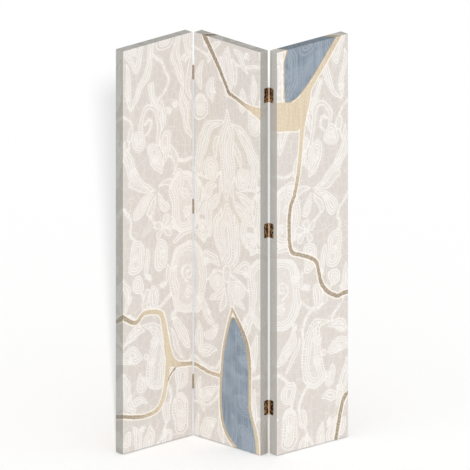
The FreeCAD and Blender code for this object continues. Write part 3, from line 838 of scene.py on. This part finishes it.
def printed_cotton():
    """Cotton canvas with the print on its face."""
    material, flat = new_material("printed canvas", "UV")
    tree = flat.tree
    streaks = stretched_noise(flat, (210, 5, 1), 4.0)
    clouds = noise(flat, 7.0, 4.0, 0.6)
    fine = noise(flat, 60.0, 4.0, 0.6)
    ground, colour = print_ground(flat, clouds, streaks)
    lace, full, open_ladder = lace_share(tree, fine, streaks)
    colour = blend(full, colour, THREAD_WHITE)
    colour = blend(open_ladder * 0.8, colour, ground)
    colour = blend(lace * 0.86, colour, THREAD_WHITE)

    gold = mark(tree, "gold") + ramp(fine, 0.2, 0.8, -2.0, 2.0)
    blue = mark(tree, "blue") + ramp(fine, 0.2, 0.8, -1.0, 1.0)
    near_paint = calc("MINIMUM", gold, blue + 1.0)
    colour = blend(ramp(near_paint, 4.0, 9.0, 0.8, 0.0), colour, CREAM)
    wash = blue_wash(clouds, streaks, calc("MAXIMUM", lace, full * 0.5))
    colour = blend(ramp(blue, -1.0, 1.0, 1.0, 0.0), colour, wash)
    rim = ramp(blue, -2.5, -0.5) * ramp(blue, 3.0, 5.5, 1.0, 0.0)
    colour = blend(rim * 0.85, colour, GOLD_EDGE)
    leaf_share = ramp(gold, -1.0, 1.0, 1.0, 0.0) * calc("GREATER_THAN", blue, -1.0)
    colour = blend(leaf_share, colour, gold_leaf(flat, gold, streaks))

    colour = blend(mark(tree, "side"), colour, GROUND)
    # Painted shade: round the sides, top and bottom the print is multiplied darker, by as much as the mark
    # read here says.
    shaded = blend(1.0, colour, WRAP_SHADE, "MULTIPLY")
    colour = blend(mark(tree, "painted_wrap_shade"), colour, shaded)
    behind = mark(tree, "onto_back") + ramp(fine, 0.2, 0.8, -0.8, 0.8)
    colour = blend(ramp(behind, PRINT_BEHIND - 0.4, PRINT_BEHIND + 0.4), colour, RAW_COTTON)
    return finish(material, colour, 0.82, weave_height(flat), 0.00008, strength=0.6, specular=0.25)


def raw_cotton():
    """The bare back of the cotton canvas, unbleached, with slubs and flecks of seed."""
    material, flat = new_material("raw canvas", "UV")
    slubs = ramp(stretched_noise(flat, (25, 700, 1)), 0.45, 0.75, 0, 0.5)
    upright = ramp(stretched_noise(flat, (700, 25, 1)), 0.45, 0.75, 0, 0.4)
    flecks = ramp(noise(flat, 420.0, 1.0), 0.78, 0.82, 0, 0.7)
    colour = blend(slubs, RAW_COTTON, COTTON_SLUB)
    colour = blend(upright, colour, COTTON_PALE)
    colour = blend(flecks, colour, COTTON_SEED)
    return finish(material, colour, 0.9, weave_height(flat), 0.00012, strength=0.8, specular=0.2)


def make_object(name, points, faces, materials):
    """A mesh object that shows in the scene."""
    mesh = bpy.data.meshes.new(name)
    mesh.from_pydata(points, [], faces)
    for material in materials:
        mesh.materials.append(material)
    made = bpy.data.objects.new(name, mesh)
    bpy.context.scene.collection.objects.link(made)
    return made


def make_canvas(panel, materials):
    """The canvas of one panel, with its print."""
    cloth, outer_points, outer_faces = canvas_cloth()
    points, flats = np.vstack(cloth.points), np.vstack(cloth.flats)
    _, first, same = np.unique(np.round(points, 6), axis=0, return_index=True, return_inverse=True)
    same = same.ravel()
    faces = [[same[corner] for corner in face] for face in cloth.faces]
    merged, merged_flats = points[first].copy(), flats[first]
    outer = first < outer_points
    merged[outer] = round_folds(merged[outer])
    made = make_object(f"{panel}_canvas", merged.tolist(), faces, materials)
    mesh = made.data
    offset = PANELS.index(panel) * PANEL_WIDTH
    marks = print_marks(merged_flats, offset)
    turned = np.clip(2 * merged[:, 1] / FOLD_RADIUS - 0.6, 0, 1)
    from_side = np.minimum(merged[:, 0], PANEL_WIDTH - merged[:, 0])
    past_front = (from_side < FOLD_RADIUS) | (merged[:, 1] > PANEL_DEPTH - FOLD_RADIUS)
    marks["side"] = turned * past_front * SIDE_FADED[panel]
    # Painted shade: each panel's sides get their own depth of it, and the top a lighter share, for how light
    # falls there.
    on_top = turned * (merged[:, 2] > PANEL_TOP - FOLD_RADIUS)
    marks["painted_wrap_shade"] = turned * WRAP_SHADE_STRENGTH[panel] * (1 - (1 - TOP_SHADE_STRENGTH) * on_top)
    for name, values in marks.items():
        mesh.attributes.new(name, "FLOAT", "POINT").data.foreach_set("value", values.astype(np.float32))
    uvs = mesh.uv_layers.new(name="flat cloth")
    corners = np.array([corner for face in cloth.faces for corner in face])
    flat = flats[corners] + np.array([offset, 0])
    uvs.data.foreach_set("uv", flat.astype(np.float32).ravel())
    lining = np.arange(len(faces)) >= outer_faces
    mesh.polygons.foreach_set("material_index", lining.astype(np.int32))
    mesh.polygons.foreach_set("use_smooth", ~lining)
    mesh.transform(PLACES[panel])
    mesh.update()
    return made


canvas_materials = [printed_cotton(), raw_cotton()]
for panel in PANELS:
    canvas = make_canvas(panel, canvas_materials)
    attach(canvas, f"{panel}_panel")
    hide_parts(f"{panel}_panel_canvas")

# ---- Staples
# Wire staples through the turned cloth into the backs of the bars: down both stiles, and along the top and
# bottom rails. Only their crowns show, lying on the raw edge of the canvas.

STAPLE_CROWN = 0.010
STAPLE_LEG = 0.008
STAPLE_WIRE = 0.0007
STAPLE_PITCH = 0.085
STAPLE_INSET = 0.009


def staple_tree():
    """Geometry nodes that put a wire staple on each point, turned as the point says."""
    tree = bpy.data.node_groups.new("staples", "GeometryNodeTree")
    tree.interface.new_socket("Points", in_out="INPUT", socket_type="NodeSocketGeometry")
    for name in ("Crown", "Leg", "Wire", "Bend"):
        tree.interface.new_socket(name, in_out="INPUT", socket_type="NodeSocketFloat")
    tree.interface.new_socket("Finish", in_out="INPUT", socket_type="NodeSocketMaterial")
    tree.interface.new_socket("Staples", in_out="OUTPUT", socket_type="NodeSocketGeometry")
    given = tree.nodes.new("NodeGroupInput")
    crown, leg, wire = Wired(given, "Crown"), Wired(given, "Leg"), Wired(given, "Wire")
    index = add(tree, "GeometryNodeInputIndex")
    side = calc("GREATER_THAN", index, 1.5) - 0.5
    tip = calc("GREATER_THAN", calc("ABSOLUTE", index - 1.5), 1.0)
    corner = add(tree, "ShaderNodeCombineXYZ", x=side * (crown - wire), y=tip * leg * -1.0)
    line = add(tree, "GeometryNodeMeshLine", count=4)
    bent = add(tree, "GeometryNodeSetPosition", geometry=line, position=corner)
    curve = add(tree, "GeometryNodeMeshToCurve", mesh=bent)
    bend = {"radius": Wired(given, "Bend"), "count": 3}
    rounded = add(tree, "GeometryNodeFilletCurve", {"mode": "POLY"}, curve=curve, **bend)
    ring = add(tree, "GeometryNodeCurvePrimitiveCircle", resolution=8, radius=wire * 0.5)
    staple = add(tree, "GeometryNodeCurveToMesh", curve=rounded, profile_curve=ring, fill_caps=True)
    turn = add(tree, "GeometryNodeInputNamedAttribute", {"data_type": "FLOAT_VECTOR"}, name="turn")
    spread = {"points": Wired(given, "Points"), "instance": staple, "rotation": turn}
    spread = add(tree, "GeometryNodeInstanceOnPoints", **spread)
    real = add(tree, "GeometryNodeRealizeInstances", geometry=spread)
    zinc = add(tree, "GeometryNodeSetMaterial", geometry=real, material=Wired(given, "Finish"))
    fill_socket(tree.nodes.new("NodeGroupOutput").inputs[0], zinc)
    return tree


def grown(made, tree, sizes):
    """The plain mesh that a tree of geometry nodes makes on an object, in place of what the object was."""
    modifier = made.modifiers.new("grown", "NODES")
    modifier.node_group = tree
    for socket in tree.interface.items_tree:
        if socket.in_out == "INPUT" and socket.name in sizes:
            modifier[socket.identifier] = sizes[socket.name]
    bpy.context.view_layer.update()
    evaluated = made.evaluated_get(bpy.context.evaluated_depsgraph_get())
    mesh = bpy.data.meshes.new_from_object(evaluated)
    made.modifiers.remove(modifier)
    made.data = mesh
    mesh.name = made.name
    return made


def evenly(start, end, pitch):
    """Places about a pitch apart, with half a space at each end."""
    count = round((end - start) / pitch)
    return [start + (end - start) * (i + 0.5) / count for i in range(count)]


def zinc_wire():
    """Zinc-plated steel wire, dull, with faint draw marks."""
    material, place = new_material("zinc staple wire")
    dull = noise(place, 900.0, 3.0)
    colour = blend(ramp(dull, 0.35, 0.7), paint(196, 198, 200), paint(140, 143, 147))
    return finish(material, colour, ramp(dull, 0.3, 0.7, 0.3, 0.5), dull, 0.00004, metallic=1.0)


staple_wire = zinc_wire()
staples = staple_tree()
back = PANEL_DEPTH + STAPLE_WIRE / 2
up = [
    (x, z, math.pi / 2)
    for x in (STAPLE_INSET, PANEL_WIDTH - STAPLE_INSET)
    for z in evenly(PANEL_FOOT + CLOTH, PANEL_TOP - CLOTH, STAPLE_PITCH)
]
level = [
    (x, z, 0.0)
    for z in (PANEL_FOOT + STAPLE_INSET, PANEL_TOP - STAPLE_INSET)
    for x in evenly(RETURN, PANEL_WIDTH - RETURN, STAPLE_PITCH)
]
for panel in PANELS:
    row = make_object(f"{panel}_staples", [(x, back, z) for x, z, _ in up + level], [], [])
    turns = [number for _, _, turn in up + level for number in (0.0, turn, 0.0)]
    row.data.attributes.new("turn", "FLOAT_VECTOR", "POINT").data.foreach_set("vector", turns)
    sizes = {"Crown": STAPLE_CROWN, "Leg": STAPLE_LEG, "Wire": STAPLE_WIRE, "Bend": STAPLE_WIRE}
    grown(row, staples, {**sizes, "Finish": staple_wire})
    row.data.transform(PLACES[panel])
    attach(row, f"{panel}_panel")
    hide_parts(f"{panel}_panel_staples")

# ---- Glides
# Two round plastic glides nailed under each panel keep the canvas off the floor.


def moulded_plastic():
    """Off-white nylon, matt from its mould."""
    material, place = new_material("glide plastic")
    cloud = noise(place, 160.0, 3.0)
    colour = blend(cloud, paint(226, 223, 214), paint(208, 203, 192))
    rough = ramp(cloud, 0.3, 0.7, 0.42, 0.58)
    return finish(material, colour, rough, noise(place, 2600.0, 2.0), 0.00003)


finish_nodes("_glides", moulded_plastic())

# ---- Hinges
# Three brass butt hinges between each two panels, five knuckles round a headed pin. The brass has brown
# patches painted in for the dark reflections of polished brass, and a painted highlight round each pin.

PIN_OUT = {"left": 0.0019, "right": 0.0030}  # past the middle panel's edge
PIN_PROUD = {"left": 0.0024, "right": 0.0035}  # past its front, and past its back
PINS = {
    "left": PLACES["middle"] @ Vector((-PIN_OUT["left"], -PIN_PROUD["left"], 0)),
    "right": PLACES["middle"] @ Vector((PANEL_WIDTH + PIN_OUT["right"], PANEL_DEPTH + PIN_PROUD["right"], 0)),
}
# A painted highlight on the knuckles round each pin: greyer on the left hinges, brighter on the right ones.
KNUCKLE_HIGHLIGHT = {"left": paint(176, 164, 142), "right": paint(222, 190, 160)}
HIGHLIGHT_NEAR, HIGHLIGHT_FAR = 0.0031, 0.0042  # from a pin's middle
BRASS = paint(134, 98, 58)
BRASS_PALE = paint(186, 152, 108)
# Painted dark reflections, drawn as brown patches.
BRASS_BROWN = paint(30, 16, 7)


def brass_with_painted_reflections(name, pin=None, highlight_colour=None):
    """Brass with brown patches painted in for dark reflections, and a painted highlight round a hinge's pin.
    """
    material, place = new_material(name)
    fine = noise(place, 900.0, 3.0, 0.6)
    colour = blend(ramp(fine, 0.35, 0.65), BRASS, BRASS_PALE)
    # Painted dark reflections: brown patches at random over the brass.
    brown = ramp(noise(place, 115.0, 2.0, 0.5, 0.8), 0.44, 0.5)
    if pin is not None:
        x, y, _ = parts(place)
        # Painted highlight round the pin.
        highlight = ramp(distance(x - pin.x, y - pin.y), HIGHLIGHT_NEAR, HIGHLIGHT_FAR, 1.0, 0.0)
        colour = blend(highlight * 0.85, colour, highlight_colour)
        brown = brown * ramp(highlight, 0.0, 1.0, 1.0, 0.15)
    rough = ramp(fine, 0.3, 0.7, 0.3, 0.42) + brown * 0.2
    return finish(material, blend(brown, colour, BRASS_BROWN), rough, fine, 0.00003, metallic=0.6)


for side in ("left", "right"):
    brass = brass_with_painted_reflections(f"antiqued brass of the {side} hinges", PINS[side], KNUCKLE_HIGHLIGHT[side])
    finish_nodes(f"{side}_hinge_", brass)

# ---- Screws
# Three countersunk brass screws with a cross recess hold each leaf to its stile.

for side in ("left", "right"):
    # The screws' brass has the same painted dark reflections.
    finish_nodes(f"{side}_hinge_screws", brass_with_painted_reflections(f"antiqued brass of the {side} screws"))

# ---- Floor, light and camera
# A plain pale floor under soft white light from all round, with one lamp that shines from just above the
# camera.

FLOOR_SIZE = 40.0
FLOOR_PAINT = 0.975
ROOM_LIGHT = 0.77
LAMP_LIGHT = 2.4
LAMP_SOFTNESS = math.radians(1.6)
LAMP_HEIGHT_ANGLE = math.radians(19.6)
LAMP_SIDE_ANGLE = math.radians(0.65)


def pale_floor():
    """A plain pale floor, matt."""
    material = bpy.data.materials.new("pale floor")
    material.use_nodes = True
    shader = material.node_tree.nodes["Principled BSDF"].inputs
    shader["Base Color"].default_value = (FLOOR_PAINT, FLOOR_PAINT, FLOOR_PAINT, 1.0)
    shader["Roughness"].default_value = 1.0
    shader["Specular IOR Level"].default_value = 0.0
    half = FLOOR_SIZE / 2
    corners = [(-half, -half, 0), (half, -half, 0), (half, half, 0), (-half, half, 0)]
    return make_object("floor", corners, [(0, 1, 2, 3)], [material])


pale_floor()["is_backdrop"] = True

world = bpy.data.worlds.new("white room")
world.use_nodes = True
world.node_tree.nodes["Background"].inputs["Color"].default_value = (1, 1, 1, 1)
world.node_tree.nodes["Background"].inputs["Strength"].default_value = ROOM_LIGHT
bpy.context.scene.world = world

lamp = bpy.data.lights.new("soft lamp", "SUN")
lamp.energy = LAMP_LIGHT
lamp.angle = LAMP_SOFTNESS
lamp_object = bpy.data.objects.new("soft lamp", lamp)
lamp_object.rotation_euler = (math.pi / 2 - LAMP_HEIGHT_ANGLE, 0, LAMP_SIDE_ANGLE)
bpy.context.scene.collection.objects.link(lamp_object)

CAMERA_AIM = Vector((0.0132, 0, 0.9349))
CAMERA_HEIGHT_ANGLE = math.radians(17.9)
CAMERA_DISTANCE = 6.0
VIEW_WIDTH = 1.9957537

camera = bpy.data.cameras.new("camera")
camera.type = "ORTHO"
camera.ortho_scale = VIEW_WIDTH
camera.clip_end = 60.0
camera_object = bpy.data.objects.new("camera", camera)
camera_object.location = CAMERA_AIM + CAMERA_DISTANCE * Vector(
    (0, -math.cos(CAMERA_HEIGHT_ANGLE), math.sin(CAMERA_HEIGHT_ANGLE))
)
camera_object.rotation_euler = (math.pi / 2 - CAMERA_HEIGHT_ANGLE, 0, 0)
bpy.context.scene.collection.objects.link(camera_object)
bpy.context.scene.camera = camera_object
bpy.context.scene.view_settings.view_transform = "Standard"

sizes = {"cad": [list(corner) for corner in cad_size], "visual": [list(c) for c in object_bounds()]}
